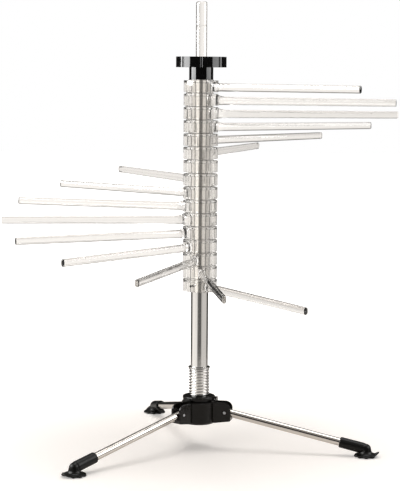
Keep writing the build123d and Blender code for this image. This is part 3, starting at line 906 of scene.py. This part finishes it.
# %% [markdown]
# ## Building a finish
# A finish starts as a Principled shader with its constants written on it. Three short calls then
# add what varies: a colour between two tones, a roughness between two values, and a bump from
# a height. The tones stay close together, because these are clean new surfaces.

# %% Helpers for finishes
def new_finish(name, **constants):
    """A material, its tree, its shader and the place on the surface."""
    material = bpy.data.materials.new(name)
    material.use_nodes = True
    tree = material.node_tree
    shader = tree.nodes["Principled BSDF"]
    for key, value in constants.items():
        shader.inputs[key.replace("_", " ")].default_value = value
    return material, tree, shader, tree.nodes.new("ShaderNodeTexCoord").outputs["Object"]


def use(tree, group, place, scale=None):
    """The value of an effect at a place, at the effect's own scale or another."""
    node = tree.nodes.new("ShaderNodeGroup")
    node.node_tree = group
    feed(tree, node.inputs["Place"], place)
    if scale is not None:
        node.inputs["Scale"].default_value = scale
    return node.outputs["Value"]


def tones(tree, shader, mask, first, second):
    """Base colour from the first tone to the second, by a mask."""
    node = tree.nodes.new("ShaderNodeValToRGB")
    node.color_ramp.elements[0].color = (*first, 1.0)
    node.color_ramp.elements[1].color = (*second, 1.0)
    feed(tree, node.inputs["Fac"], mask)
    feed(tree, shader.inputs["Base Color"], node.outputs["Color"])


def dulled(tree, shader, mask, low, high):
    """Roughness from a low to a high value, by a mask."""
    feed(tree, shader.inputs["Roughness"], fade(tree, mask, 0.0, 1.0, low, high))


def raised(tree, shader, height, depth):
    """A bump whose full height is a depth in millimetres."""
    node = tree.nodes.new("ShaderNodeBump")
    node.inputs["Strength"].default_value = 1.0
    node.inputs["Distance"].default_value = depth * MM
    feed(tree, node.inputs["Height"], height)
    feed(tree, shader.inputs["Normal"], node.outputs["Normal"])

# %% [markdown]
# ## Clear plastic
# Lamps must reach the table through the arms, or their shadows turn black. A mix with a
# transparent shader, switched by Light Path, lets only shadow rays pass. The faces on which the
# rings turn against each other are worn dull, and their colour is darkened as painted shade of
# the narrow gap between the rings. They lie at one height in every pitch, so the height of a
# point above the lowest ring tells how near it is to such a face. Many walls stand behind each
# other, so rays need more bounces than usual before they come out again.

# %% Clear plastic finishes
SHADOW_TINT = (0.93, 0.925, 0.915, 1.0)
# The second tone is painted shade: a dark colour on the faces at the rings' joints that stands for
# the shade in the gap between the rings.
CLEAR_TONE, JOINT_SHADE_TONE = (0.988, 0.983, 0.974), (0.12, 0.11, 0.10)
CLEAR_ROUGHNESS, WORN_ROUGHNESS = 0.012, 0.40
MARK_DULLNESS, MARK_STAIN, CLEAR_WAVE = 0.22, 0.02, 0.05
WEAR_AND_SHADE_SHARE = 0.020
BOUNCES, GLOSSY_BOUNCES = 32, 12


def clear_finish(name, with_joints):
    """Clear plastic with faint marks; at the rings' joints, if asked, worn dull faces with painted
    shade.
    """
    material, tree, shader, place = new_finish(name, IOR=1.57, Transmission_Weight=1.0)
    marks = use(tree, handled, place)
    dull = math_node(tree, "MULTIPLY", marks, MARK_DULLNESS)
    stain_and_shade = math_node(tree, "MULTIPLY", marks, MARK_STAIN)
    if with_joints:
        split = tree.nodes.new("ShaderNodeSeparateXYZ")
        feed(tree, split.inputs[0], place)
        joint = (LOWEST_RING - RING_PITCH / 2) * MM
        level = math_node(tree, "SUBTRACT", split.outputs["Z"], joint)
        near = math_node(tree, "PINGPONG", level, RING_PITCH / 2 * MM)
        band = WEAR_AND_SHADE_SHARE * RING_PITCH * MM
        # The joint band is real wear, which dulls the gloss, and painted shade of the gap between
        # rings, which darkens the colour.
        joint_wear_and_shade = fade(tree, near, band, 2 * band, 1, 0)
        dull = math_node(tree, "MAXIMUM", dull, joint_wear_and_shade)
        stain_and_shade = math_node(tree, "MAXIMUM", stain_and_shade, joint_wear_and_shade)
    tones(tree, shader, stain_and_shade, CLEAR_TONE, JOINT_SHADE_TONE)
    dulled(tree, shader, dull, CLEAR_ROUGHNESS, WORN_ROUGHNESS)
    raised(tree, shader, use(tree, waves, place), CLEAR_WAVE)
    light_path = tree.nodes.new("ShaderNodeLightPath")
    let_through = tree.nodes.new("ShaderNodeBsdfTransparent")
    let_through.inputs["Color"].default_value = SHADOW_TINT
    mix = tree.nodes.new("ShaderNodeMixShader")
    feed(tree, mix.inputs[0], light_path.outputs["Is Shadow Ray"])
    feed(tree, mix.inputs[1], shader.outputs[0])
    feed(tree, mix.inputs[2], let_through.outputs[0])
    feed(tree, tree.nodes["Material Output"].inputs["Surface"], mix.outputs[0])
    return material


arm_plastic = clear_finish("clear arm plastic", with_joints=True)
wand_plastic = clear_finish("clear wand plastic", with_joints=False)

cycles = bpy.context.scene.cycles
cycles.max_bounces = cycles.transmission_bounces = BOUNCES
cycles.glossy_bounces = GLOSSY_BOUNCES

# %% [markdown]
# ## Black plastic, rubber and the smaller metal parts
# The knob is gloss black: nearly no colour, all reflection. The hub and the cap are the same kind
# of plastic with a duller skin. The rubber of the feet is warmer and softer, and its grain
# spreads the light. Zinc plate and blackened steel show only at pins and the screw.

# %% Black plastic and rubber
gloss_black, tree, shader, place = new_finish("gloss black plastic", IOR=1.53)
marks = use(tree, handled, place)
tones(tree, shader, marks, (0.0035, 0.0034, 0.0036), (0.0085, 0.0083, 0.0085))
dulled(tree, shader, marks, 0.07, 0.24)
raised(tree, shader, use(tree, waves, place), 0.03)

hub_black, tree, shader, place = new_finish(
    "moulded hub black", IOR=1.5, Specular_IOR_Level=0.22
)
marks = use(tree, handled, place)
tones(tree, shader, marks, (0.0055, 0.0048, 0.0040), (0.0120, 0.0108, 0.0095))
dulled(tree, shader, marks, 0.16, 0.34)
raised(tree, shader, use(tree, waves, place), 0.04)

matt_black, tree, shader, place = new_finish("matt black plastic", IOR=1.5)
sand = use(tree, grain, place)
tones(tree, shader, use(tree, handled, place), (0.018, 0.018, 0.019), (0.034, 0.033, 0.033))
dulled(tree, shader, sand, 0.38, 0.55)
raised(tree, shader, sand, 0.02)

rubber, tree, shader, place = new_finish("black rubber", Specular_IOR_Level=0.2)
bloom = use(tree, handled, place, 70.0)
sand = use(tree, grain, place, 1100.0)
tones(tree, shader, bloom, (0.0035, 0.0031, 0.0027), (0.0085, 0.0077, 0.0068))
dulled(tree, shader, bloom, 0.32, 0.52)
raised(tree, shader, sand, 0.03)

# %% [markdown]
# ## Metal
# The tube and the legs were drawn through a die and polished along their length. Each leg lies
# in its own direction, so each has its own finish with the lines drawn out along that leg.

# %% Metal finishes
STREAK_SHARE = 0.5


def drawn_finish(name, along, first, second, rough, depth=0.004):
    """Bright metal with fine lines along a direction, a little duller in the lines."""
    material, tree, shader, place = new_finish(name, Metallic=1.0)
    streaks = use(tree, lines, drawn_out(tree, place, along))
    marks = use(tree, handled, place)
    tones(tree, shader, streaks, first, second)
    both = math_node(tree, "MULTIPLY_ADD", streaks, STREAK_SHARE)
    feed(tree, both.node.inputs[2], marks)
    dulled(tree, shader, both, *rough)
    raised(tree, shader, streaks, depth)
    return material


tube_steel = drawn_finish(
    "drawn tube steel", (0, 0, 1), (0.88, 0.87, 0.85), (0.78, 0.765, 0.745), (0.08, 0.18)
)
leg_chrome = {}
for side, azimuth in LEG_AZIMUTHS.items():
    along = place_for(azimuth).to_3x3() @ Vector((math.cos(slope), 0.0, -math.sin(slope)))
    leg_chrome[f"leg_tube_{side}"] = drawn_finish(
        f"polished chrome {side}", along, (0.66, 0.625, 0.585), (0.57, 0.535, 0.50), (0.035, 0.11),
        depth=0.002,
    )

wire, tree, shader, place = new_finish("spring wire", Metallic=1.0)
oil = use(tree, handled, place, 120.0)
tones(tree, shader, oil, (0.66, 0.65, 0.64), (0.50, 0.49, 0.475))
dulled(tree, shader, oil, 0.16, 0.34)
raised(tree, shader, use(tree, grain, place, 2200.0), 0.006)

zinc, tree, shader, place = new_finish("zinc plate", Metallic=1.0)
spangle = use(tree, grain, place, 700.0)
tones(tree, shader, spangle, (0.62, 0.63, 0.64), (0.50, 0.51, 0.53))
dulled(tree, shader, spangle, 0.26, 0.42)
raised(tree, shader, spangle, 0.006)

dark_steel, tree, shader, place = new_finish("blackened steel", Metallic=1.0)
scale_mask = use(tree, handled, place, 200.0)
tones(tree, shader, scale_mask, (0.045, 0.043, 0.042), (0.09, 0.085, 0.08))
dulled(tree, shader, scale_mask, 0.32, 0.5)
raised(tree, shader, use(tree, grain, place), 0.01)

# %% [markdown]
# ## Giving every piece its finish
# The record names a slot for every node, and the pieces modelled here carry the slot of the
# node that they stand for. One table turns a slot into a finish. Engineering nodes keep their
# meshes and only change what is in their material slots.

# %% Assign the finishes
finishes = {
    "clear_plastic": arm_plastic, "black_plastic": gloss_black, "dark_plastic": matt_black,
    "column_steel": tube_steel, "spring_steel": wire, "zinc_metal": zinc,
    "blackened_steel": dark_steel, "black_rubber": rubber,
}
slots = {row["node"]: row["material_slot"] for row in frame["record"]["subparts"]}
special = {**leg_chrome, "hub_base": hub_black}
for name, node in nodes.items():
    finish = special.get(name) or finishes[slots[name]]
    for index in range(len(node.data.materials)):
        node.data.materials[index] = finish
modelled = [*arms, wand, knob, spring, cap, *feet]
for piece in modelled:
    piece.data.materials.clear()
    piece.data.materials.append(finishes[piece["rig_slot"]])
wand.data.materials[0] = wand_plastic
cap.data.materials[0] = hub_black
print("finishes:", len(bpy.data.materials), "pieces modelled:", len(modelled))
